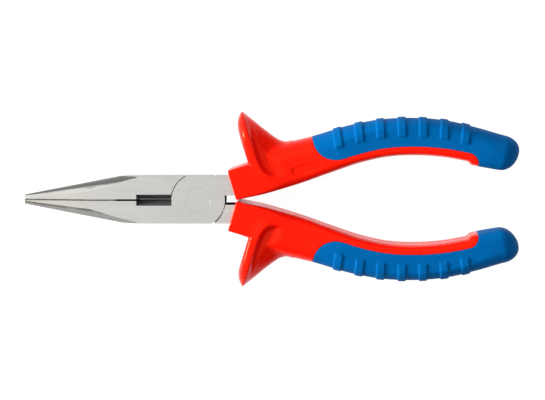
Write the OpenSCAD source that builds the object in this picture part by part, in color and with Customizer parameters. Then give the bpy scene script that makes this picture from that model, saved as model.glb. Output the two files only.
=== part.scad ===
// Long-nose pliers with a side cutter, a lap joint and two-component grips.
// X runs from the jaw tip to the handle ends, Y across the handles, Z along the pivot.
// The origin is on the pivot axis, in the ground flat on the underside of the head.
// The front arm is the lower jaw and the upper handle. The back arm is the same shape turned over.

/* [Head] */
// From the pivot axis to the tip of the jaws
jaw_reach = 56.6; // [54:0.2:60]
// Width of the closed head across the joint
head_w = 15.1; // [14.6:0.1:15.6]
// Thickness of the head between its two ground flats
head_t = 10; // [9.6:0.1:10.4]
// Length of the conical nose, from the tip
nose_len = 31; // [29:0.5:33]
// Width of the closed nose at the tip
tip_w = 3.1; // [2.6:0.1:3.6]
// Thickness of the nose at the tip
tip_t = 3; // [2.6:0.1:3.4]
// Length of the tapered flats on both sides of the nose
flat_len = 22; // [20:0.5:24]

/* [Jaws] */
// Pitch of the serrations
tooth_pitch = 0.65; // [0.5:0.05:0.9]
// Depth of the serrations in each jaw
tooth_depth = 0.35; // [0.25:0.05:0.4]
// Length of the serrated faces, from the tip
serrated_len = 30; // [26:0.5:32]
// Opening of the slit between the serrations and the cutter
slit_w = 0.6; // [0.4:0.05:0.7]
// Length of the cutter window
cutter_len = 11.4; // [10:0.2:12]
// Width of the cutter window at the flats
cutter_w = 3.6; // [3:0.1:4]
// Gap left between closed teeth and between closed cutting edges
closed_gap = 0.04; // [0.02:0.01:0.06]

/* [Joint] */
// Radius of the half-thickness joint discs
disc_r = 8.6; // [8.4:0.1:8.8]
// Radial gap between a disc and the shoulders round it
disc_gap = 0.25; // [0.2:0.05:0.3]
// Gap between the two sliding lap faces
lap_gap = 0.05; // [0.04:0.01:0.08]
// Sideways shift of the relief cut that widens the gap at the outer edge
relief = 0.45; // [0.2:0.05:0.5]
// Radius of the rivet's shank
rivet_r = 3; // [2.6:0.1:3.2]
// Radius of the rivet's two flush heads
rivet_head_r = 4; // [3.8:0.1:4.4]
// Running clearance of the rivet in the front arm
rivet_clearance = 0.03; // [0.02:0.01:0.06]

/* [Handles] */
// Thickness of the steel tangs inside the grips
tang_t = 7; // [6:0.5:8]
// Width of the steel tangs
tang_w = 6; // [5:0.2:6.4]
// Where the tangs end, along X
tang_end = 86; // [80:1:88]
// Overall thickness of the grips
grip_t = 18; // [17:0.2:19]

/* [Guard] */
// Height of the guard's tip above the middle of the handle
guard_h = 21.9; // [21:0.1:23]
// Where the middle of the guard plate's root is, along X
guard_x = 17.8; // [17:0.1:18.5]
// How much further than the handle the guard plate leans, in degrees
guard_lean = 1.5; // [0:0.5:3]

/* [Overmould] */
// Thickness of the soft skin
skin = 1.8; // [1.4:0.1:2]
// Width of the hard strip left bare along the inner edge
strip_w = 3; // [2.6:0.1:3.4]
// Where the soft skin starts, along the handle's middle line
skin_start = 38.5; // [38:0.1:39]
// Radius of the skin's rounded start
skin_round = 7.7; // [7:0.1:8]
// Radius of the bare strip's rounded end
strip_round = 4; // [3:0.1:4.5]
// How far the lobe at the handle's end stands out on the inner edge
lobe = 1; // [0.4:0.1:1.4]
// Number of ribs
rib_count = 7; // [3:1:7]
// Where the middle of the first rib is, along X
rib_start = 45.5; // [44:0.1:46]
// Spacing of the ribs along X
rib_pitch = 6.64; // [6:0.02:6.9]
// Width of a rib
rib_w = 2.9; // [2:0.1:3.2]
// How far the ribs stand proud
rib_h = 0.4; // [0.2:0.05:0.6]
// How far the ribs reach in from the outer edge
rib_reach = 5.8; // [5:0.1:7]

/* [Hidden] */
$fn = 96;

STEEL = [0.74, 0.74, 0.72];
RED = [0.95, 0.18, 0.08];
BLUE = [0.03, 0.38, 0.7];

z_mid = head_t / 2;
half_w = head_w / 2;
overlap = 0.02;              // how far joined blocks run into each other
nose_root = -jaw_reach + nose_len;
nose_slope = (half_w - tip_w / 2) / nose_len;
nose_back = nose_root + 6;   // the cone runs on here, outside the parallel head
head_end = 13.5;             // the full-thickness head ends inside the collar
notch_half = 1.5;            // half the notch between the two arms behind the joint
recess_r = disc_r + disc_gap;
tooth_count = floor(serrated_len / tooth_pitch);
teeth_end = -jaw_reach + tooth_count * tooth_pitch;
cutter_end = -disc_r;
cutter_start = cutter_end - cutter_len;

// The handle's middle line and section at evenly spaced stations along X:
// middle y, half width, half thickness, squareness. The first and last only set the slope.
knot_x = 11;
knot_dx = 9.7;
KNOTS = [
    [ 2.1, 5.0, 10.0, 8.0],
    [ 5.0, 5.0, 10.0, 7.0],
    [ 7.8, 5.8,  9.0, 4.0],
    [11.6, 6.8,  7.9, 3.0],
    [14.6, 6.4,  8.3, 2.8],
    [17.7, 6.2,  8.9, 2.7],
    [19.7, 6.0,  9.1, 2.7],
    [20.2, 5.9,  9.2, 2.7],
    [19.5, 5.8,  9.1, 2.7],
    [17.5, 5.5,  8.9, 2.7],
    [15.3, 5.0,  8.4, 2.6],
    [14.2, 4.6,  8.0, 2.6]
];
handle_end = 97.3;                   // the rounded end starts here
end_len = 5.7;                       // and is this long
lobe_start = 87.2;                   // the lobe rises on the inner edge from here
lobe_rise = 2;                       // over this length
step = 2.425;                        // spacing of the rings along the handle
inner_square = 1.7;                  // how much squarer the handle's inner half is
RING = 26;                           // points in a ring

// The guard's slices, each parallel to its plate: distance behind the plate's front face,
// height of the slice and half thickness of the slice
GUARD = [
    [0.0, 19.0, 9.4], [0.9, 20.3, 10.4], [2.3, guard_h, 10.6], [2.9, 21.1, 10.2],
    [3.9, 19.7, 8.4], [5.5, 17.3, 6.8], [7.2, 14.6, 6.0], [9.2, 11.7, 5.5],
    [11.1, 9.2, 5.2], [13.5, 6.6, 4.8]
];

// ---- curves -------------------------------------------------------------------------------

function spline(p0, p1, p2, p3, f) =
    p1 + 0.5 * f * (p2 - p0 + f * (2 * p0 - 5 * p1 + 4 * p2 - p3 + f * (3 * (p1 - p2) + p3 - p0)));

function handle(x) =
    let (t = (x - knot_x) / knot_dx, i = max(0, min(floor(t), len(KNOTS) - 4)))
    spline(KNOTS[i], KNOTS[i + 1], KNOTS[i + 2], KNOTS[i + 3], t - i);

function slope(x) =
    let (d = 0.05, x1 = min(x, handle_end) + d, x0 = x1 - 2 * d)
    atan2(handle(x1)[0] - handle(x0)[0], 2 * d);

function power(v, e) = sign(v) * pow(abs(v), e);

// A closed outline of the given outer and inner half widths, half thickness and squareness,
// squarer on its inner half and cut flat at +-clip
function outline(a_out, a_in, b, e, clip) = [
    for (i = [0:RING - 1])
        let (t = 360 * i / RING,
             out = cos(t) > 0,
             a = out ? a_out : a_in,
             k = 2 / (out ? e : e * inner_square))
        [a * power(cos(t), k), max(-clip, min(clip, b * power(sin(t), k)))]
];

// How far the lobe stands out at x
function lobe_at(x) =
    let (f = max(0, min(1, (x - lobe_start) / lobe_rise))) lobe * f * f * (3 - 2 * f);

// A point of the handle in plan, u outwards from its middle line, and in space, v above its mid plane
function plan(x, u) = [x - u * sin(slope(x)), handle(x)[0] + u * cos(slope(x))];
function place(x, u, v = 0) = [each plan(x, u), z_mid + v];

// The handle's ring at x, grown by grow, with the rounded end's shrink
function ring(x, grow) =
    let (h = handle(min(x, handle_end)),
         s = max(0, x - handle_end) / end_len,
         k = sqrt(max(0.001, 1 - s * s)))
    [for (p = outline((h[1] + grow) * k, (h[1] + lobe_at(x) + grow) * k, (h[2] + grow) * k, h[3],
                      grip_t / 2 - rib_h + grow))
        place(x, p[0], p[1])];

// Stations from x0 to x1, a whole number of steps
function stations(x0, x1) =
    let (n = ceil((x1 - x0) / step))
    [for (i = [0:n]) x0 + (x1 - x0) * i / n];

// Stations of the rounded end, closer together towards the tip
function end_stations(length) = [for (a = [15:15:90]) handle_end + length * sin(a)];

module sweep(rings) {
    n = len(rings[0]);
    m = len(rings);
    polyhedron(
        points = [for (r = rings) each r],
        faces = concat(
            [[for (j = [0:n - 1]) j]],
            [[for (j = [n - 1:-1:0]) (m - 1) * n + j]],
            [for (i = [0:m - 2], j = [0:n - 1]) [i * n + j, (i + 1) * n + j, (i + 1) * n + (j + 1) % n]],
            [for (i = [0:m - 2], j = [0:n - 1]) [i * n + j, (i + 1) * n + (j + 1) % n, i * n + (j + 1) % n]]
        )
    );
}

// ---- steel --------------------------------------------------------------------------------

// Outer form of the closed head: parallel block, conical nose, side flats that taper to the tip
module head_form() {
    intersection() {
        union() {
            translate([-jaw_reach, 0, z_mid]) rotate([0, 90, 0])
                cylinder(h = nose_back + jaw_reach, r1 = tip_w / 2,
                         r2 = tip_w / 2 + nose_slope * (nose_back + jaw_reach));
            translate([nose_back - overlap, -half_w, 0])
                cube([head_end - nose_back + overlap, head_w, head_t]);
        }
        translate([0, half_w, z_mid]) rotate([90, 0, 0]) linear_extrude(head_w)
            polygon([
                [-jaw_reach, -tip_t / 2], [-jaw_reach + flat_len, -head_t / 2], [head_end, -head_t / 2],
                [head_end, head_t / 2], [-jaw_reach + flat_len, head_t / 2], [-jaw_reach, tip_t / 2]
            ]);
    }
}

// Plan of the lower jaw: serrations, slit and the straight line of the cutting edge
module jaw_plan() {
    y0 = -closed_gap / 2;
    polygon(concat(
        [for (i = [0:tooth_count - 1], side = [0, 1])
            [-jaw_reach + (i + side / 2) * tooth_pitch, side == 0 ? y0 : -tooth_depth]],
        [[teeth_end, y0], [teeth_end, -slit_w / 2], [cutter_start, -slit_w / 2], [cutter_start, y0],
         [0, y0], [0, -head_w], [-jaw_reach, -head_w]]
    ));
}

// The two bevelled pockets that leave the cutting edge at mid thickness
module cutter_pockets() {
    translate([cutter_start, 0, 0]) rotate([90, 0, 90]) linear_extrude(cutter_len)
        polygon([
            [1, -1], [-cutter_w / 2, -1], [-cutter_w / 2, 0], [-closed_gap / 2, z_mid],
            [-cutter_w / 2, head_t], [-cutter_w / 2, head_t + 1], [1, head_t + 1], [1, z_mid]
        ]);
}

// The tang that runs down inside the grip
module tang() {
    xs = stations(head_end - 1, tang_end);
    half = tang_w / 2;
    translate([0, 0, z_mid - tang_t / 2]) linear_extrude(tang_t)
        polygon(concat([for (x = xs) plan(x, half)],
                       [for (i = [len(xs) - 1:-1:0]) plan(xs[i], -half)]));
}

// Full-thickness neck between the joint and the tang
module neck() {
    intersection() {
        head_form();
        translate([0, notch_half, 0]) cube([head_end, half_w, head_t]);
    }
}

module disc_recess() {
    for (shift = [[0, 0], [-relief / 3, relief]])
        translate([shift[0], shift[1], -1]) cylinder(h = 1 + z_mid + lap_gap / 2, r = recess_r);
}

module lever(bore_r) {
    color(STEEL) difference() {
        union() {
            difference() {
                union() {
                    intersection() {
                        head_form();
                        linear_extrude(head_t) jaw_plan();
                    }
                    neck();
                }
                cutter_pockets();
                disc_recess();
            }
            intersection() {
                head_form();
                translate([0, 0, z_mid + lap_gap / 2])
                    cylinder(h = z_mid - lap_gap / 2, r = disc_r);
            }
            tang();
        }
        translate([0, 0, -1]) cylinder(h = head_t + 2, r = bore_r);
        rivet_sink(bore_r);
    }
}

// Cone that takes the rivet's flush head
module rivet_sink(bore_r) {
    translate([0, 0, head_t - 1])
        cylinder(h = 1, r1 = bore_r, r2 = bore_r + rivet_head_r - rivet_r);
}

module turned_over() {
    translate([0, 0, head_t]) rotate([180, 0, 0]) children();
}

module front_lever() {
    lever(rivet_r + rivet_clearance);
}

module back_lever() {
    turned_over() lever(rivet_r);
}

module pivot_rivet() {
    color(STEEL) union() {
        cylinder(h = head_t, r = rivet_r);
        rivet_sink(rivet_r);
        turned_over() rivet_sink(rivet_r);
    }
}

// ---- grips --------------------------------------------------------------------------------

// The whole grip without its guard
module grip_form(grow = 0) {
    sweep([for (x = concat(stations(knot_x, handle_end), end_stations(end_len + grow))) ring(x, grow)]);
}

// One slice of the guard, a thin upright plate
module guard_slice(s) {
    clip = grip_t / 2;
    pts = [for (t = [0:12:180])
        [s[1] * power(sin(t), 0.8), max(-clip, min(clip, s[2] * power(cos(t), 0.8)))]];
    translate([s[0], 0, 0]) rotate([90, 0, 90]) linear_extrude(0.1) polygon(pts);
}

// Guard that stops the hand sliding towards the head: a curved plate with a fillet behind it
module guard() {
    front = place(guard_x, 0);
    translate(front) rotate([0, 0, slope(guard_x) + guard_lean])
        for (i = [0:len(GUARD) - 2]) hull() {
            guard_slice(GUARD[i]);
            guard_slice(GUARD[i + 1]);
        }
}

// Plan of the zone that the soft skin covers: outside the bare strip, with a rounded start
module skin_plan() {
    corner_x = skin_start + skin_round;
    strip_end = plan(lobe_start, bare_to(lobe_start) - strip_round);
    far = handle_end + head_w;
    polygon(concat(
        [plan(skin_start, 2 * head_w)],
        [for (a = [180:9:261])
            let (x = corner_x + skin_round * cos(a)) plan(x, bare_to(x) + skin_round * (1 + sin(a)))],
        [for (x = stations(corner_x, lobe_start)) plan(x, bare_to(x))],
        [for (a = [66:-22:0]) strip_end + strip_round * [cos(a), sin(a)]],
        [[strip_end[0] + strip_round, 0], [far, 0], [far, 3 * head_w]]
    ));
}

// Inner border of the skin, out from the handle's middle line
function bare_to(x) = strip_w - handle(x)[1];

// Space of the soft skin: its plan, less the hard core that fills the middle of the grip
module skin_zone() {
    inner = [for (x = stations(skin_start - 2, handle_end - 3)) ring(x, -skin)];
    difference() {
        translate([0, 0, -head_t]) linear_extrude(3 * head_t) skin_plan();
        sweep(inner);
    }
}

module ribs() {
    intersection() {
        grip_form(rib_h);
        for (i = [0:rib_count - 1]) {
            x = rib_start + i * rib_pitch;
            out = handle(x)[1];
            hull() for (dx = [-1, 1] * (rib_w / 2 - 0.5), u = [out - rib_reach + 0.5, out + 2])
                translate([x + dx, handle(x)[0], -z_mid]) rotate([0, 0, slope(x) / 2])
                    translate([0, u, 0]) cylinder(h = 2 * head_t, r = 0.5, $fn = 16);
        }
    }
}

module grip_core() {
    color(RED) difference() {
        union() {
            grip_form();
            guard();
        }
        skin_zone();
        neck();
        tang();
    }
}

module grip_overmould() {
    color(BLUE) intersection() {
        union() {
            grip_form();
            ribs();
        }
        skin_zone();
    }
}

module upper_grip_core() {
    grip_core();
}

module upper_grip_overmould() {
    grip_overmould();
}

module lower_grip_core() {
    turned_over() grip_core();
}

module lower_grip_overmould() {
    turned_over() grip_overmould();
}

front_lever();
back_lever();
pivot_rivet();
upper_grip_core();
upper_grip_overmould();
lower_grip_core();
lower_grip_overmould();
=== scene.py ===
"""Long-nose pliers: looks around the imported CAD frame.

The steel levers and the rivet are the CAD nodes with a brushed steel material and broken edges.
The two-component grips replace their CAD solids: a hard red core with the guard, made as the level
set of a smooth field, and a soft blue skin with ribs, made as a swept sheet cut along its border.
Shapes are worked out in millimetres in the frame of the part and scaled to metres at the end.

A handle has its own coordinates: s is the station along its middle line, u the distance outwards
from that line in plan, and v the height above the mid plane.
"""

import itertools
import math

import bpy
import numpy as np
from mathutils import Matrix, Vector


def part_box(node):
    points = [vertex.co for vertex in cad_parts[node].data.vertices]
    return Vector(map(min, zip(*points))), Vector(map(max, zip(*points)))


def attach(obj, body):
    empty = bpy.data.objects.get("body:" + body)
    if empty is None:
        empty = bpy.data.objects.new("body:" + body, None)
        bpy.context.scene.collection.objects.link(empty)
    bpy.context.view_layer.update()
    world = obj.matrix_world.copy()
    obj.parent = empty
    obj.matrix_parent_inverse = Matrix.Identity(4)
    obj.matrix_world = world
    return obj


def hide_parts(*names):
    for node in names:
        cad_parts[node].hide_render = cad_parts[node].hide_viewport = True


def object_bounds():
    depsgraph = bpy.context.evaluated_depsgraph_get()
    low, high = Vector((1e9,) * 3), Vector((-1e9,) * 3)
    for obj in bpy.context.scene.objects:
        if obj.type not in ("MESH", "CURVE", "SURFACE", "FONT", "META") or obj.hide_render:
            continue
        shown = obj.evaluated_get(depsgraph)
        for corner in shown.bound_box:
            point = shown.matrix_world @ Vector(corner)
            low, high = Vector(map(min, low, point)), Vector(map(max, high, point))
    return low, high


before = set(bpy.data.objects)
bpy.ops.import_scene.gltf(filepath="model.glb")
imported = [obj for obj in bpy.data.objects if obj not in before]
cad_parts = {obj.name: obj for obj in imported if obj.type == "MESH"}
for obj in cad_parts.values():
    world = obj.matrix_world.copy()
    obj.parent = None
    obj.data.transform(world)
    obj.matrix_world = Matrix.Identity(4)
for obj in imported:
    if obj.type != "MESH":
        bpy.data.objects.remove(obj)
cad_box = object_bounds()

MM = 0.001

# ---- sizes in millimetres, the same as the CAD part's ---------------------------------------

Z_MID = sum(corner.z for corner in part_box("front_lever")) / 2 / MM      # height of the mid plane
core_low, core_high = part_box("upper_grip_core")
GRIP_HALF = (core_high.z - core_low.z) / 2 / MM     # half thickness over the guard

# Middle line and section of a handle at even stations along X:
# middle y, half width, half thickness, squareness
KNOT_X, KNOT_DX = 11.0, 9.7
KNOTS = np.array([
    [2.1, 5.0, 10.0, 8.0],
    [5.0, 5.0, 10.0, 7.0],
    [7.8, 5.8, 9.0, 4.0],
    [11.6, 6.8, 7.9, 3.0],
    [14.6, 6.4, 8.3, 2.8],
    [17.7, 6.2, 8.9, 2.7],
    [19.7, 6.0, 9.1, 2.7],
    [20.2, 5.9, 9.2, 2.7],
    [19.5, 5.8, 9.1, 2.7],
    [17.5, 5.5, 8.9, 2.7],
    [15.3, 5.0, 8.4, 2.6],
    [14.2, 4.6, 8.0, 2.6],
])
HANDLE_END = 97.3                                   # station where the rounded end starts
END_LEN = 5.65                                      # its length
END_POWER = 2.0                                     # 2 makes its outline an ellipse
INNER_SQUARE = 1.7                                  # how much squarer the inner half is
LOBE_START, LOBE_RISE, LOBE = 87.2, 2.0, 1.0        # the end's lobe on the inner edge

# Guard: distance behind its front face, height, half thickness. Its tip is blunter than the CAD's.
GUARD_X, GUARD_LEAN = 17.8, math.radians(1.5)
GUARD = np.array([
    [0.0, 18.7, 9.4], [1.1, 20.1, 10.4], [2.8, 21.7, 10.6], [3.3, 21.1, 10.2], [4.2, 19.7, 8.4],
    [5.8, 17.3, 6.8], [7.5, 14.6, 6.0], [9.5, 11.7, 5.5], [11.4, 9.2, 5.2], [13.8, 6.6, 4.8],
])

SKIN = 1.8                                          # thickness of the soft skin
STRIP_W, STRIP_ROUND = 3.0, 4.0                     # bare strip along the inner edge
SKIN_START, SKIN_ROUND = 38.5, 7.7                  # rounded start of the skin

RIB_COUNT, RIB_START, RIB_PITCH = 7, 45.5, 6.64     # number, first station, distance between two
RIB_W, RIB_H, RIB_REACH = 2.9, 0.4, 5.8             # width, height, reach in from the outer edge
RIB_EDGE = 0.35                                     # width over which a rib's side rises
FLAT_HALF = GRIP_HALF - RIB_H                       # the grip is cut flat here, under the ribs

# Steel inside the grips: the bar of the tang, and the neck before it
TANG_HALF_W, TANG_HALF_T, TANG_END = 2.9, 3.4, 86.0
NECK_Y, NECK_HALF_W, NECK_HALF_T, NECK_END = 4.5, 2.9, 4.9, 13.4

TINY = 1e-9                                         # keeps a division away from zero

# ---- curves of the handle -------------------------------------------------------------------

def knots_at(x):
    """Row of the knot table at x, on a smooth curve through the knots."""
    t = (np.asarray(x, float) - KNOT_X) / KNOT_DX
    i = np.clip(np.floor(t), 0, len(KNOTS) - 4).astype(int)
    f = (t - i)[..., None]
    p0, p1, p2, p3 = (KNOTS[i + k] for k in range(4))
    cubic = 3 * (p1 - p2) + p3 - p0
    quadratic = 2 * p0 - 5 * p1 + 4 * p2 - p3
    return p1 + 0.5 * f * (p2 - p0 + f * (quadratic + f * cubic))


# The curves, tabulated finely enough for straight lines between the entries
STATION = np.arange(0.0, 110.0, 0.05)
MID = knots_at(STATION)[:, 0]
HALF_W, HALF_T, SQUARE = knots_at(np.minimum(STATION, HANDLE_END))[:, 1:].T
LEAN = np.arctan(np.gradient(MID, STATION))
LEAN[STATION > HANDLE_END] = np.interp(HANDLE_END, STATION, LEAN)


def smooth_step(t):
    """0 up to t = 0 and 1 from t = 1, with a smooth rise between."""
    t = np.clip(t, 0.0, 1.0)
    return t * t * (3 - 2 * t)


def lobe_at(s):
    """How far the end's lobe lifts the inner edge at station s."""
    return LOBE * smooth_step((s - LOBE_START) / LOBE_RISE)


def plan(s, u):
    """Plan point u outwards from the middle line at station s."""
    lean = np.interp(s, STATION, LEAN)
    return s - u * np.sin(lean), np.interp(s, STATION, MID) + u * np.cos(lean)


ALONG_STEPS = 5          # steps towards the nearest point of the middle line


def along(x, y):
    """Station of a plan point and its distance outwards from the middle line."""
    s = np.clip(x, STATION[0], STATION[-1])
    for _ in range(ALONG_STEPS):
        lean, mid = np.interp(s, STATION, LEAN), np.interp(s, STATION, MID)
        s = s + (x - s) * np.cos(lean) + (y - mid) * np.sin(lean)
    return s, (s - x) * np.sin(lean) + (y - mid) * np.cos(lean)


# ---- border between the two materials -------------------------------------------------------

def skin_zone(x, y):
    """Distance inside the soft skin's zone in plan, negative outside it."""
    s, u = along(x, y)
    bare = STRIP_W - np.interp(s, STATION, HALF_W)
    ds = s - LOBE_START
    du = u - (bare - STRIP_ROUND)
    corner = np.hypot(np.maximum(ds, 0), np.maximum(du, 0)) + np.minimum(np.maximum(ds, du), 0)
    past_strip = corner - STRIP_ROUND
    before = s - (SKIN_START + SKIN_ROUND)
    below = u - (bare + SKIN_ROUND)
    start = SKIN_ROUND - np.hypot(np.minimum(before, 0), np.minimum(below, 0))
    return np.where(before < 0, np.minimum(start, past_strip), past_strip)


def rib_height(x, y):
    """How far the ribs lift the skin at a plan point."""
    high = np.zeros_like(x)
    for i in range(RIB_COUNT):
        s = RIB_START + i * RIB_PITCH
        row = knots_at(s)
        turn = np.interp(s, STATION, LEAN) / 2          # a rib leans half as much as the handle
        dx, dy = x - s, y - row[0]
        across = dx * math.cos(turn) + dy * math.sin(turn)
        out = dy * math.cos(turn) - dx * math.sin(turn)
        inside = np.minimum(RIB_W / 2 - np.abs(across), out - (row[1] - RIB_REACH))
        high = np.maximum(high, RIB_H * smooth_step(inside / RIB_EDGE))
    return high


# ---- meshes ---------------------------------------------------------------------------------

UNIT = np.eye(3, dtype=int)                         # lattice steps along X, Y and Z
PROBE = 0.02                                        # distance over which a field's slope is taken
PULLS = 4                                           # steps that bring a net's points onto its surface
LEAST_STEEP = 1e-3                                  # least squared slope used in such a step


def make_object(name, points, faces, material):
    """A smooth-shaded object from points in millimetres."""
    mesh = bpy.data.meshes.new(name)
    mesh.from_pydata((np.asarray(points) * MM).tolist(), [], [list(map(int, f)) for f in faces])
    mesh.validate()
    mesh.materials.append(material)
    mesh.shade_smooth()
    obj = bpy.data.objects.new(name, mesh)
    bpy.context.scene.collection.objects.link(obj)
    return obj


def turned_over(points):
    """The same piece on the other arm: half a turn about X through the mid plane."""
    return np.asarray(points) * [1, -1, -1] + [0, 0, 2 * Z_MID]


def net_points(value, cells):
    """Mean of the surface's crossings with the edges of each cell, in lattice steps."""
    total, hits = np.zeros((len(cells), 3)), np.zeros((len(cells), 1))
    for axis in range(3):
        others = UNIT[(axis + 1) % 3], UNIT[(axis + 2) % 3]
        for b, c in itertools.product((0, 1), repeat=2):
            start = cells + b * others[0] + c * others[1]
            v0, v1 = value[tuple(start.T)], value[tuple((start + UNIT[axis]).T)]
            cross = (v0 < 0) != (v1 < 0)
            share = (v0[cross] / (v0[cross] - v1[cross]))[:, None]
            total[cross] += start[cross] + share * UNIT[axis]
            hits[cross] += 1
    return total / hits


def net_quads(inside, index):
    """A quad round each lattice edge that crosses the surface, facing outwards."""
    size = np.array(inside.shape)
    quads = []
    for axis in range(3):
        e1, e2 = UNIT[(axis + 1) % 3], UNIT[(axis + 2) % 3]
        first = np.moveaxis(inside, axis, 0)
        crossed = np.argwhere(np.moveaxis(first[:-1] != first[1:], 0, axis))
        keep = (crossed @ e1 > 0) & (crossed @ e2 > 0)
        keep &= (crossed @ e1 < size @ e1 - 1) & (crossed @ e2 < size @ e2 - 1)
        crossed = crossed[keep]
        ring = [index[tuple((crossed - d).T)] for d in (e1 + e2, e2, 0 * e1, e1)]
        ring = np.stack(ring, 1)
        outward = inside[tuple(crossed.T)]
        quads.append(np.where(outward[:, None], ring, ring[:, ::-1]))
    return np.concatenate(quads)


def surface_net(field, low, high, cell):
    """Quads of the surface where field is 0: one point per crossed cell, pulled onto the surface."""
    low = np.asarray(low, float)
    size = np.ceil((np.asarray(high) - low) / cell).astype(int) + 1
    lattice = np.stack(np.meshgrid(*[np.arange(n) for n in size], indexing="ij"), -1)
    value = field(low + cell * lattice.reshape(-1, 3)).reshape(size)
    inside = value < 0
    corners = sum(
        inside[i:size[0] - 1 + i, j:size[1] - 1 + j, k:size[2] - 1 + k].astype(int)
        for i, j, k in itertools.product((0, 1), repeat=3)
    )
    mixed = (corners > 0) & (corners < 8)
    cells = np.argwhere(mixed)
    index = np.full(mixed.shape, -1)
    index[mixed] = np.arange(len(cells))
    points = low + cell * net_points(value, cells)
    for _ in range(PULLS):
        points = points - pull(field, points, 0.5 * cell)
    return points, net_quads(inside, index)


def pull(field, points, longest):
    """Step from each point towards the surface, at most so long."""
    d = PROBE
    slope = np.stack(
        [(field(points + d * e) - field(points - d * e)) / (2 * d) for e in np.eye(3)], 1
    )
    steepness = np.maximum((slope ** 2).sum(1, keepdims=True), LEAST_STEEP)
    step = field(points)[:, None] * slope / steepness
    length = np.linalg.norm(step, axis=1, keepdims=True)
    return step * np.minimum(1, longest / np.maximum(length, TINY))


# ---- hard core ------------------------------------------------------------------------------

BODY_EDGE = 0.6          # rounding where the flats cut the handle's section
COLLAR_EDGE = 0.5        # rounding of the collar's front edge

GUARD_SQUARE = 2.5       # squareness of the guard's section
GUARD_EDGE = 0.8         # rounding of its flat sides
GUARD_CLEAR = 0.03       # how far it stays inside the CAD guard's thickness
GUARD_FLARE = 1.0, 6.0   # height where it starts to stand out past the flats, and over how much
RIM = 2.9                # thickness of the guard's plate
RIM_EDGE = 2.4           # rounding of its front edge
FILLET_AT = 1.5, 4.5     # distances behind the front face between which the fillet to the handle grows
FILLET = 0.4, 3.0        # the fillet at those places

SCOOP_UP = -2.6          # inner border of the scoop, from the handle's middle line
SCOOP_FILLET = 8.0       # rounding between that border and the rim
SCOOP_FADE = 1.0         # distance behind the rim where the scoop starts to fade out
SCOOP_LEN = 9.5          # length over which it fades
SCOOP_DEPTH = 2.7
SCOOP_WALL = 1.3         # width of the scoop's wall
SCOOP_EDGE = 0.5         # rounding of its upper edge

PANEL_S, PANEL_U = 34.2, -2.5                       # middle of the small sunk panel on the upper side
PANEL_HALF, PANEL_R = 3.3, 1.5                      # half its straight length, radius of its ends
PANEL_DEPTH, PANEL_WALL = 0.22, 0.3

SEAM_START, SEAM_END = 20.0, 90.0                   # groove of the mould's seam on the inner edge
SEAM_RISE, SEAM_FALL = 6.0, 4.0                     # lengths over which it sets in and fades
SEAM_HALF, SEAM_DEPTH = 0.7, 0.35

BORDER_DEPTH, BORDER_W = 0.1, 0.3                   # how the core sinks towards the skin's border


def join(a, b, k):
    """Union of two fields with a fillet of about k."""
    h = np.clip(0.5 + 0.5 * (b - a) / k, 0, 1)
    return b + (a - b) * h - k * h * (1 - h)


def both(a, b, k):
    """Intersection of two fields with an edge rounded by about k."""
    return -join(-a, -b, k)


def section_field(u, v, a, b, e):
    """Level of a superellipse, 1 on its outline, and the distance that a level of 1 stands for."""
    pu, pv = np.abs(u) / a, np.abs(v) / b
    g = np.maximum(pu ** e + pv ** e, TINY) ** (1 / e)
    slope = g ** (1 - e) * np.hypot(pu ** (e - 1) / a, pv ** (e - 1) / b)
    return g, 1 / np.maximum(slope, 1 / np.maximum(a, b))


def body_field(s, u, v):
    """The handle without its guard."""
    half_w, half_t, square = (np.interp(s, STATION, t) for t in (HALF_W, HALF_T, SQUARE))
    a = np.where(u > 0, half_w, half_w + lobe_at(s))
    e = np.where(u > 0, square, square * INNER_SQUARE)
    g, scale = section_field(u, v, a, half_t, e)
    past = np.maximum(s - HANDLE_END, 0) / END_LEN
    g = (g ** END_POWER + past ** END_POWER) ** (1 / END_POWER)
    return both((g - 1) * scale, np.abs(v) - FLAT_HALF, BODY_EDGE)


def guard_place(x, y):
    """Distance behind the guard's front face, and height above the handle's middle line."""
    lean = np.interp(GUARD_X, STATION, LEAN) + GUARD_LEAN
    mid = np.interp(GUARD_X, STATION, MID)
    dx, dy = x - GUARD_X, y - mid
    return dx * math.cos(lean) + dy * math.sin(lean), dy * math.cos(lean) - dx * math.sin(lean)


def guard_field(behind, up, v):
    """The guard's plate with the web behind it."""
    high = np.interp(behind, GUARD[:, 0], GUARD[:, 1])
    thick = np.interp(behind, GUARD[:, 0], GUARD[:, 2])
    g, scale = section_field(up, v, high, thick, GUARD_SQUARE)
    flare_start, flare_len = GUARD_FLARE
    flare = smooth_step((up - flare_start) / flare_len)
    half = FLAT_HALF + (GRIP_HALF - GUARD_CLEAR - FLAT_HALF) * flare
    plate = both((g - 1) * scale, np.abs(v) - half, GUARD_EDGE)
    plate = np.maximum(plate, np.maximum(-up, behind - GUARD[-1, 0]))
    return both(plate, -behind, RIM_EDGE)


def scoop_half(behind, up):
    """Half thickness left by the scoop behind the guard's rim, full outside the scoop."""
    corner = join(behind - RIM, up - SCOOP_UP, SCOOP_FILLET)
    fade = 1 - smooth_step((behind - RIM - SCOOP_FADE) / SCOOP_LEN)
    return GRIP_HALF - SCOOP_DEPTH * smooth_step(corner / SCOOP_WALL) * fade


def panel_dent(s, u, v):
    """Depth of the small sunk panel, which is on the upper side only."""
    panel = np.hypot(np.maximum(np.abs(s - PANEL_S) - PANEL_HALF, 0), u - PANEL_U) - PANEL_R
    return PANEL_DEPTH * smooth_step(-panel / PANEL_WALL) * (v > 0)


def seam_dent(s, u, v):
    """Depth of the mould's seam, which runs along the inner edge."""
    ends = smooth_step((s - SEAM_START) / SEAM_RISE) * smooth_step((SEAM_END - s) / SEAM_FALL)
    return SEAM_DEPTH * (ends * (u < 0)) * smooth_step(1 - np.abs(v) / SEAM_HALF)


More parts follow.
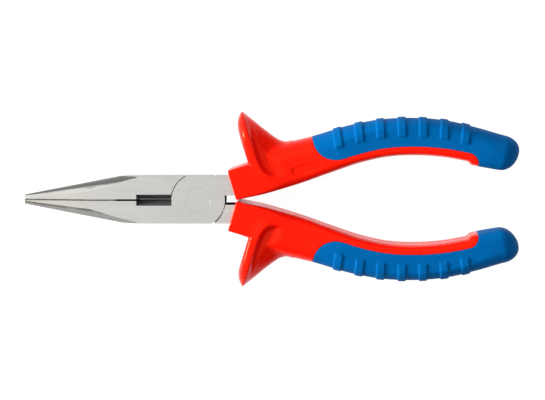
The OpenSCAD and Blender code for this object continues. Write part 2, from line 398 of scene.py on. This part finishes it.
def steel_inside(x, y, s, u, v):
    """Field of the tang and its neck inside the grip."""
    tang = np.maximum(np.maximum(np.abs(u) - TANG_HALF_W, np.abs(v) - TANG_HALF_T), s - TANG_END)
    neck_side = np.maximum(np.abs(y - NECK_Y) - NECK_HALF_W, np.abs(v) - NECK_HALF_T)
    return np.minimum(tang, np.maximum(neck_side, x - NECK_END))


def core_field(points):
    """The hard core: handle and guard, less the skin's pocket and the steel inside."""
    x, y, z = points.T
    v = z - Z_MID
    s, u = along(x, y)
    body = body_field(s, u, v)
    behind, up = guard_place(x, y)
    f = both(body, KNOT_X - s, COLLAR_EDGE)
    f = join(f, guard_field(behind, up, v), np.interp(behind, FILLET_AT, FILLET))
    f = both(f, np.abs(v) - scoop_half(behind, up), SCOOP_EDGE)
    f = f + panel_dent(s, u, v)
    f = f + seam_dent(s, u, v)
    zone = skin_zone(x, y)
    f = f + BORDER_DEPTH * smooth_step(zone / BORDER_W + 1)
    f = np.maximum(f, np.minimum(zone, body + SKIN))
    return np.maximum(f, -steel_inside(x, y, s, u, v))


# ---- soft skin ------------------------------------------------------------------------------

SKIN_RING = 128          # points in a ring of the skin
SKIN_STEP = 0.22         # spacing of the rings
END_RINGS = 22           # rings over the rounded end
END_LAST = 0.99999       # how far the last of them is along the end, just short of its tip
SKIN_MARGIN = 1.5        # length of rings before the skin's start, which the cut takes away
TURN_STEPS = 720         # steps round a section, before its points are evened out
SKIN_EDGE = 0.15         # radius of the skin's edge
EDGE_TURNS = 30, 60, 90  # degrees of the loops round that edge
SKIN_DEPTH = 1.65        # thickness of the sheet


def skin_rings():
    """Points of the grip's surface on a grid: rings along the handle, evenly spaced points round."""
    turns = np.linspace(0, 2 * math.pi, TURN_STEPS + 1)
    cos, sin = np.cos(turns), np.sin(turns)
    lengthwise = np.arange(SKIN_START - SKIN_MARGIN, HANDLE_END, SKIN_STEP)
    end = HANDLE_END + END_LEN * np.sin(np.linspace(0, math.pi / 2, END_RINGS))
    rings = []
    for s in np.concatenate([lengthwise, end]):
        half_w, half_t, square = (np.interp(s, STATION, t) for t in (HALF_W, HALF_T, SQUARE))
        e = np.where(cos > 0, square, square * INNER_SQUARE)
        past = min(max(s - HANDLE_END, 0) / END_LEN, END_LAST)
        k = (1 - past ** END_POWER) ** (1 / END_POWER)
        a = np.where(cos > 0, half_w, half_w + lobe_at(s)) * k
        u = a * np.sign(cos) * np.abs(cos) ** (2 / e)
        v = half_t * k * np.sign(sin) * np.abs(sin) ** (2 / e)
        v = np.clip(v, -FLAT_HALF, FLAT_HALF)
        run = np.concatenate([[0], np.cumsum(np.hypot(np.diff(u), np.diff(v)))])
        even = run[-1] * np.arange(SKIN_RING) / SKIN_RING
        u, v = np.interp(even, run, u), np.interp(even, run, v)
        x, y = plan(s, u)
        rings.append(np.stack([x, y, v + Z_MID], 1))
    return np.array(rings)


def grid_normals(rings):
    """Outward normals of the grid."""
    lengthwise = np.gradient(rings, axis=0)
    round_ = np.roll(rings, -1, 1) - np.roll(rings, 1, 1)
    n = np.cross(round_, lengthwise)
    n[-1] = [1, 0, 0]
    return n / np.linalg.norm(n, axis=2, keepdims=True)


def cut_quad(quad, inside, point):
    """What is left of a quad inside the border. point numbers a corner, or the cut of an edge."""
    face = []
    for q, following in zip(quad, quad[1:] + quad[:1]):
        if inside[q]:
            face.append(point(q))
        if inside[q] != inside[following]:
            face.append(point(q, following))
    return face


def cut_grid(depth):
    """Faces of a grid of rings where depth is positive, cut along depth = 0.

    Returns where each point lies, as (point a, point b, share of b), and the faces.
    """
    count, ring = depth.shape
    flat = depth.reshape(-1)
    inside = flat > 0
    places, number, faces = [], {}, []

    def point(a, b=None):
        """Number of grid point a, or of the cut between a and b."""
        key = (a, a) if b is None else (min(a, b), max(a, b))
        if key not in number:
            number[key] = len(places)
            a, b = key
            places.append((a, b, 0.0 if a == b else flat[a] / (flat[a] - flat[b])))
        return number[key]

    for i in range(count - 1):
        for j in range(ring):
            k = (j + 1) % ring
            quad = [i * ring + j, i * ring + k, (i + 1) * ring + k, (i + 1) * ring + j]
            face = cut_quad(quad, inside, point)
            if len(face) > 2:
                faces.append(face)
    return np.array(places), faces


def border_edges(faces):
    """Edges that only one face uses, in that face's direction."""
    used = {}
    for f in faces:
        for p, q in zip(f, f[1:] + f[:1]):
            used[(p, q)] = True
    return [(p, q) for p, q in used if (q, p) not in used]


def edge_loops(points, normals):
    """Loops of points that round the sheet's edge and go down to its inner side."""
    d = PROBE
    x, y = points[:, 0], points[:, 1]
    away = -np.stack([
        skin_zone(x + d, y) - skin_zone(x - d, y),
        skin_zone(x, y + d) - skin_zone(x, y - d),
        np.zeros(len(points)),
    ], 1)
    away -= normals * (away * normals).sum(1, keepdims=True)
    away /= np.maximum(np.linalg.norm(away, axis=1, keepdims=True), TINY)
    loops = [
        points + SKIN_EDGE * (away * math.sin(t) - normals * (1 - math.cos(t)))
        for t in np.radians(EDGE_TURNS)
    ]
    return loops + [loops[-1] - normals * (SKIN_DEPTH - SKIN_EDGE)]


def skin_mesh():
    """The skin as a closed sheet: ribbed outside, smooth inside, with a rounded edge."""
    rings = skin_rings()
    normals = grid_normals(rings)
    depth = skin_zone(rings[..., 0], rings[..., 1]) - SKIN_EDGE
    places, faces = cut_grid(depth)
    a, b, share = places[:, 0].astype(int), places[:, 1].astype(int), places[:, 2:]

    def at(values):
        """The grid's values at the points of the cut grid."""
        values = values.reshape(-1, 3)
        return values[a] * (1 - share) + values[b] * share

    base, normal = at(rings), at(normals)
    normal /= np.linalg.norm(normal, axis=1, keepdims=True)
    outer = base + normal * rib_height(base[:, 0], base[:, 1])[:, None]
    inner = base - normal * SKIN_DEPTH
    n = len(base)
    edge = border_edges(faces)
    rim = sorted({p for e in edge for p in e})
    place = {p: i for i, p in enumerate(rim)}
    loops = edge_loops(outer[rim], normal[rim])

    def chain(p):
        """Points from the outer side to the inner side at a point of the border."""
        return [p] + [2 * n + k * len(rim) + place[p] for k in range(len(loops))] + [n + p]

    faces = faces + [[n + p for p in reversed(f)] for f in faces]
    for p, q in edge:
        here, there = chain(p), chain(q)
        for k in range(len(here) - 1):
            faces.append([there[k], here[k], here[k + 1], there[k + 1]])
    return np.concatenate([outer, inner] + loops), faces


# ---- materials ------------------------------------------------------------------------------

def new_material(name):
    """A material with a Principled shader, and short ways to add and link nodes."""
    material = bpy.data.materials.new(name)
    material.use_nodes = True
    tree = material.node_tree
    shader = tree.nodes["Principled BSDF"]

    def add(kind, **values):
        """A new node. Each value is one of its settings or of its inputs."""
        node = tree.nodes.new(kind)
        for key, value in values.items():
            if hasattr(node, key):
                setattr(node, key, value)
            else:
                node.inputs[key.replace("_", " ")].default_value = value
        return node

    return material, shader, add, tree.links.new


EVEN = 1, 1, 1                                      # the same scale each way


def stretched(add, link, scale):
    """Object coordinates scaled by the three numbers."""
    coords = add("ShaderNodeTexCoord")
    mapping = add("ShaderNodeMapping")
    mapping.inputs["Scale"].default_value = scale
    link(coords.outputs["Object"], mapping.inputs["Vector"])
    return mapping.outputs["Vector"]


def ramp(add, link, source, stops):
    """Colour by a value from 0 to 1. A stop is a place with a colour, or with a tuple of one grey."""
    node = add("ShaderNodeValToRGB")
    elements = node.color_ramp.elements
    while len(elements) < len(stops):
        elements.new(0.5)
    for element, (place, colour) in zip(elements, stops):
        element.position = place
        element.color = (*colour, 1) if len(colour) == 3 else (colour[0],) * 3 + (1,)
    link(source, node.inputs["Fac"])
    return node.outputs["Color"]


def sums(add, link):
    """A short way to write arithmetic on shader values."""
    def calc(kind, a, b=0.0):
        """The result of one Math node, whose inputs are numbers or other nodes' outputs."""
        node = add("ShaderNodeMath", operation=kind)
        for socket, value in zip(node.inputs, (a, b)):
            if hasattr(value, "type"):
                link(value, socket)
            else:
                socket.default_value = value
        return node.outputs[0]

    return calc


def product(add, link, a, b):
    """One colour multiplied by another."""
    mix = add("ShaderNodeMix", data_type="RGBA", blend_type="MULTIPLY")
    mix.inputs[0].default_value = 1
    link(a, mix.inputs[6])
    link(b, mix.inputs[7])
    return mix.outputs[2]


# Painted shade and painted reflection on the steel, by its normal's Y, from -1 at place 0 to 1 at
# place 1.
# The nose is painted darker towards its sides as shade, with painted light bands for reflections of
# the lights, brightest on its upper side.
NOSE_PAINTED_SHADING = [
    (0.0, (0.45, 0.46, 0.47)), (0.006, (0.37, 0.385, 0.39)), (0.06, (0.60, 0.62, 0.63)),
    (0.2, (1.20, 1.25, 1.27)), (0.38, (0.98, 1.0, 1.0)), (0.49, (1.0, 1.0, 1.0)),
    (0.51, (1.0, 1.0, 1.0)), (0.56, (0.90, 0.92, 0.92)), (0.66, (1.38, 1.45, 1.50)),
    (0.845, (1.52, 1.62, 1.69)), (0.895, (0.35, 0.365, 0.375)), (0.994, (0.30, 0.315, 0.32)),
    (1.0, (0.45, 0.46, 0.47)),
]
# Painted shade by how far the face slopes down to the tip: the flats that taper are painted darker and
# warmer, to even out the brighter reflection they catch
TAPER_PAINTED_SHADE = [(0.09, (1.0, 1.0, 1.0)), (0.14, (0.68, 0.645, 0.62))]

# Painted shade on walls in the recesses, where shade falls: the cutter's window, the slit between the
# jaws, the gaps round the discs and the notch behind the joint. Each number is the tone its painted
# shade leaves. All but the window are found by their slope too.
WALL_NORMAL = 0.6                                   # a wall's normal has less than this along Z
DISC_R = 8.6 * MM                                   # radius of the joint's discs
JAWS_END = -DISC_R - 0.05 * MM                      # X where the jaws meet the joint
WINDOW_START = -DISC_R - 11.42 * MM
WINDOW_HALF, WINDOW_SHADE = 1.79 * MM, 0.45
SLIT_HALF, SLIT_SHADE = 0.36 * MM, 0.32
GAP_R, GAP_HALF, GAP_SHADE = DISC_R + 1.2 * MM, 7.4 * MM, 0.12
NOTCH_HALF, NOTCH_SHADE = 1.6 * MM, 0.06


def painted_recess_shade(calc, x, y, upright):
    """Painted shade by place: dark in the cutter's window, between the teeth and in the joint's gaps,
    where shade falls.
    """
    def where(*conditions):
        """1 where all conditions are 1, or else 0."""
        mask = conditions[0]
        for condition in conditions[1:]:
            mask = calc("MULTIPLY", mask, condition)
        return mask

    past_jaws = calc("GREATER_THAN", x, JAWS_END)
    in_jaws = calc("SUBTRACT", 1.0, past_jaws)
    radius = calc("SQRT", calc("ADD", calc("MULTIPLY", x, x), calc("MULTIPLY", y, y)))
    window = where(calc("LESS_THAN", y, WINDOW_HALF), calc("GREATER_THAN", x, WINDOW_START), in_jaws)
    slit = where(calc("LESS_THAN", y, SLIT_HALF), upright, in_jaws)
    gap = where(calc("LESS_THAN", radius, GAP_R), calc("LESS_THAN", y, GAP_HALF), upright, past_jaws)
    notch = where(calc("LESS_THAN", y, NOTCH_HALF), upright, past_jaws)
    tone = 1.0
    # each recess multiplies its painted shade into the tone
    for mask, left in ((window, WINDOW_SHADE), (slit, SLIT_SHADE), (gap, GAP_SHADE), (notch, NOTCH_SHADE)):
        tone = calc("MULTIPLY", tone, calc("SUBTRACT", 1.0, calc("MULTIPLY", mask, 1.0 - left)))
    return tone


def steel_tones(add, link):
    """Painted shade on walls in the recesses, and painted shade and painted reflections on the nose by
    the direction a face points on the object.
    """
    calc = sums(add, link)
    coords = add("ShaderNodeTexCoord")
    place, normal = add("ShaderNodeSeparateXYZ"), add("ShaderNodeSeparateXYZ")
    link(coords.outputs["Object"], place.inputs[0])
    link(coords.outputs["Normal"], normal.inputs[0])
    x, y = place.outputs[0], calc("ABSOLUTE", place.outputs[1])
    upright = calc("LESS_THAN", calc("ABSOLUTE", normal.outputs[2]), WALL_NORMAL)
    side = calc("ADD", calc("MULTIPLY", normal.outputs[1], 0.5), 0.5)
    towards_tip = calc("MULTIPLY", normal.outputs[0], -1.0)
    # painted shade and painted reflections on the nose, by the face's direction on the object
    nose = product(
        add, link,
        ramp(add, link, side, NOSE_PAINTED_SHADING),
        ramp(add, link, towards_tip, TAPER_PAINTED_SHADE),
    )
    return painted_recess_shade(calc, x, y, upright), nose


STEEL_TONES = [(0.3, (0.536, 0.534, 0.510)), (0.7, (0.626, 0.624, 0.60))]
STEEL_MOTTLE = [(0.3, (0.94, 0.94, 0.94)), (0.7, (1.0, 1.0, 1.0))]
STEEL_ROUGH = [(0.3, (0.27,)), (0.7, (0.40,))]
GRIND_LINES = 60, 9000, 9000                        # scale of the fine lines, drawn out along X
METAL_SHADE_LIMIT = 0.9                                          # painted shade level above which the steel is a metal; walls painted darker are a dull non-metal


def steel_material():
    """Ground steel with fine lines along X, with painted shade on the nose's sides and on walls in the
    recesses, and painted reflection bands on the nose.
    """
    material, shader, add, link = new_material("ground_steel")
    lines = add("ShaderNodeTexNoise", Scale=1.0, Detail=5.0, Roughness=0.6)
    link(stretched(add, link, GRIND_LINES), lines.inputs["Vector"])
    clouds = add("ShaderNodeTexNoise", Scale=90.0, Detail=3.0)
    link(stretched(add, link, EVEN), clouds.inputs["Vector"])
    tone = ramp(add, link, lines.outputs["Fac"], STEEL_TONES)
    mottle = ramp(add, link, clouds.outputs["Fac"], STEEL_MOTTLE)
    wall_shade, nose = steel_tones(add, link)
    # the nose's painted shade and painted reflections, then the recesses' painted shade, go into the
    # steel's colour
    tone = product(add, link, product(add, link, tone, mottle), nose)
    link(product(add, link, tone, wall_shade), shader.inputs["Base Color"])
    link(ramp(add, link, lines.outputs["Fac"], STEEL_ROUGH), shader.inputs["Roughness"])
    bump = add("ShaderNodeBump", Strength=0.12, Distance=0.00004)
    link(lines.outputs["Fac"], bump.inputs["Height"])
    link(bump.outputs["Normal"], shader.inputs["Normal"])
    # walls with painted shade become a dull non-metal without gloss, so their painted shade stays dark
    link(sums(add, link)("GREATER_THAN", wall_shade, METAL_SHADE_LIMIT), shader.inputs["Metallic"])
    shader.inputs["Specular IOR Level"].default_value = 0
    return material


def plastic_material(name, dark, light, rough, specular, tint, grain, depth):
    """Moulded plastic: slight change of colour and gloss, and a fine grain.

    dark and light are its colours, rough its least and greatest roughness, specular and tint the
    strength and the colour of its gloss, grain and depth the scale and the height of the grain.
    """
    material, shader, add, link = new_material(name)
    clouds = add("ShaderNodeTexNoise", Scale=140.0, Detail=4.0)
    link(stretched(add, link, EVEN), clouds.inputs["Vector"])
    fine = add("ShaderNodeTexNoise", Scale=grain, Detail=2.0)
    link(stretched(add, link, EVEN), fine.inputs["Vector"])
    colour = ramp(add, link, clouds.outputs["Fac"], [(0.3, dark), (0.7, light)])
    link(colour, shader.inputs["Base Color"])
    shine = ramp(add, link, clouds.outputs["Fac"], [(0.3, (rough[0],)), (0.7, (rough[1],))])
    link(shine, shader.inputs["Roughness"])
    bump = add("ShaderNodeBump", Strength=0.2, Distance=depth)
    link(fine.outputs["Fac"], bump.inputs["Height"])
    link(bump.outputs["Normal"], shader.inputs["Normal"])
    shader.inputs["Specular IOR Level"].default_value = specular
    shader.inputs["Specular Tint"].default_value = (*tint, 1)
    return material


FLOOR_TONES = [(0.3, (0.12,)), (0.7, (0.14,))]
FLOOR_GLOW = 0.96


def floor_material():
    """Pale floor, lit from within like a light table so that shadows stay faint."""
    material, shader, add, link = new_material("pale_floor")
    clouds = add("ShaderNodeTexNoise", Scale=30.0, Detail=3.0)
    link(stretched(add, link, EVEN), clouds.inputs["Vector"])
    link(ramp(add, link, clouds.outputs["Fac"], FLOOR_TONES), shader.inputs["Base Color"])
    shader.inputs["Emission Color"].default_value = (1, 1, 1, 1)
    shader.inputs["Emission Strength"].default_value = FLOOR_GLOW
    shader.inputs["Roughness"].default_value = 0.9
    shader.inputs["Specular IOR Level"].default_value = 0.0
    return material


# ---- steel pieces ---------------------------------------------------------------------------

STEEL = steel_material()
WELD = 1e-7                                         # metres: only joins points that are the same
SHARP = math.radians(35)                            # least angle of an edge that is broken
LEVER_EDGE, RIVET_EDGE = 0.05, 0.02                 # width of the broken edges


def dress_steel(node, edge):
    """Steel material and broken edges on a CAD node."""
    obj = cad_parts[node]
    obj.data.materials.clear()
    obj.data.materials.append(STEEL)
    weld = obj.modifiers.new("weld", "WELD")
    weld.merge_threshold = WELD
    bevel = obj.modifiers.new("edges", "BEVEL")
    bevel.width = edge * MM
    bevel.segments = 2
    bevel.limit_method = "ANGLE"
    bevel.angle_limit = SHARP
    bevel.harden_normals = True


dress_steel("front_lever", LEVER_EDGE)
dress_steel("back_lever", LEVER_EDGE)
dress_steel("pivot_rivet", RIVET_EDGE)

# ---- grips ----------------------------------------------------------------------------------

RED = plastic_material(
    "red_plastic",
    dark=(0.85, 0.007, 0.002),
    light=(0.89, 0.008, 0.002),
    rough=(0.2, 0.26),
    specular=0.14,
    tint=(1.0, 0.5, 0.2),
    grain=4000.0,
    depth=0.00001,
)
BLUE = plastic_material(
    "blue_rubber",
    dark=(0.0003, 0.085, 0.27),
    light=(0.0004, 0.094, 0.292),
    rough=(0.52, 0.6),
    specular=0.02,
    tint=(0.3, 0.8, 1.0),
    grain=6000.0,
    depth=0.00002,
)

CELL = 0.33                  # size of a cell of the core's net
NET_ROOM = 1.0                                      # room round the core in the net
core_points, core_faces = surface_net(
    core_field,
    [value / MM - NET_ROOM for value in core_low],
    [value / MM + NET_ROOM for value in core_high],
    CELL,
)
skin_points, skin_faces = skin_mesh()

for side, body, turn in (("upper", "front_arm", lambda p: p), ("lower", "back_arm", turned_over)):
    core = make_object(f"{side}_core", turn(core_points), core_faces, RED)
    skin = make_object(f"{side}_skin", turn(skin_points), skin_faces, BLUE)
    for piece, node, slot in (
        (core, "grip_core", "red_plastic"),
        (skin, "grip_overmould", "blue_rubber"),
    ):
        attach(piece, body)
        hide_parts(f"{side}_{node}")

# ---- floor, light and camera ----------------------------------------------------------------

low, high = cad_box

FLOOR_HALF = 3.0                                    # metres
WORLD_GLOW = 0.15
LIGHTS = [
    # name, direction from the object, distance, size across and up in metres, power in watts
    ("key", (-0.9, 0.8, 0.9), 1.2, (2.4, 2.0), 15.0),
    ("overhead", (0.05, 0.1, 1), 1.0, (1.6, 1.6), 6.0),
    ("edge", (-1, 0.1, 0.35), 1.1, (0.3, 0.5), 30.0),
]


def add_floor():
    """Pale floor under the object, at the CAD model's lowest point."""
    half = FLOOR_HALF
    mesh = bpy.data.meshes.new("floor")
    corners = [(-half, -half, 0), (half, -half, 0), (half, half, 0), (-half, half, 0)]
    mesh.from_pydata(corners, [], [(0, 1, 2, 3)])
    mesh.materials.append(floor_material())
    obj = bpy.data.objects.new("floor", mesh)
    obj.location.z = low.z
    bpy.context.scene.collection.objects.link(obj)


def add_light(name, direction, distance, size, power):
    """Area light in that direction from the object, which looks at its middle."""
    light = bpy.data.lights.new(name, "AREA")
    light.shape = "RECTANGLE"
    light.size, light.size_y = size
    light.energy = power
    obj = bpy.data.objects.new(name, light)
    back = Vector(direction).normalized()
    obj.location = (low + high) / 2 + back * distance
    obj.rotation_mode = "QUATERNION"
    obj.rotation_quaternion = back.to_track_quat("Z", "Y")
    bpy.context.scene.collection.objects.link(obj)


def add_world():
    """Even, weak light from all round."""
    world = bpy.data.worlds.new("studio")
    world.use_nodes = True
    background = world.node_tree.nodes["Background"]
    background.inputs["Color"].default_value = (1, 1, 1, 1)
    background.inputs["Strength"].default_value = WORLD_GLOW
    bpy.context.scene.world = world


CAMERA_AT = Vector((23.7, -0.35, 5.0)) * MM    # the middle of the picture
CAMERA_TILT = 2.4, 4.6                         # degrees towards +X and +Y
CAMERA_UP = Vector((0.0037, 1, 0))             # upwards in the picture
CAMERA_DISTANCE = 700 * MM
VIEW_W = 176.15 * MM                           # width of the picture at the middle of the object
SENSOR = 36                                    # width of the sensor, in the camera's millimetres
CLIP = 0.01, 20                                # metres


def add_camera():
    """Camera almost straight above the object, tilted a little towards +X and +Y."""
    data = bpy.data.cameras.new("camera")
    data.sensor_width = SENSOR
    data.lens = data.sensor_width * CAMERA_DISTANCE / VIEW_W
    obj = bpy.data.objects.new("camera", data)
    tilt_x, tilt_y = (math.tan(math.radians(t)) for t in CAMERA_TILT)
    back = Vector((tilt_x, tilt_y, 1)).normalized()
    right = CAMERA_UP.cross(back).normalized()
    obj.location = CAMERA_AT + back * CAMERA_DISTANCE
    obj.rotation_mode = "QUATERNION"
    obj.rotation_quaternion = Matrix((right, back.cross(right), back)).transposed().to_quaternion()
    data.clip_start, data.clip_end = CLIP
    bpy.context.scene.collection.objects.link(obj)
    bpy.context.scene.camera = obj


add_floor()
add_world()
for settings in LIGHTS:
    add_light(*settings)
add_camera()
bpy.context.scene.view_settings.view_transform = "Standard"
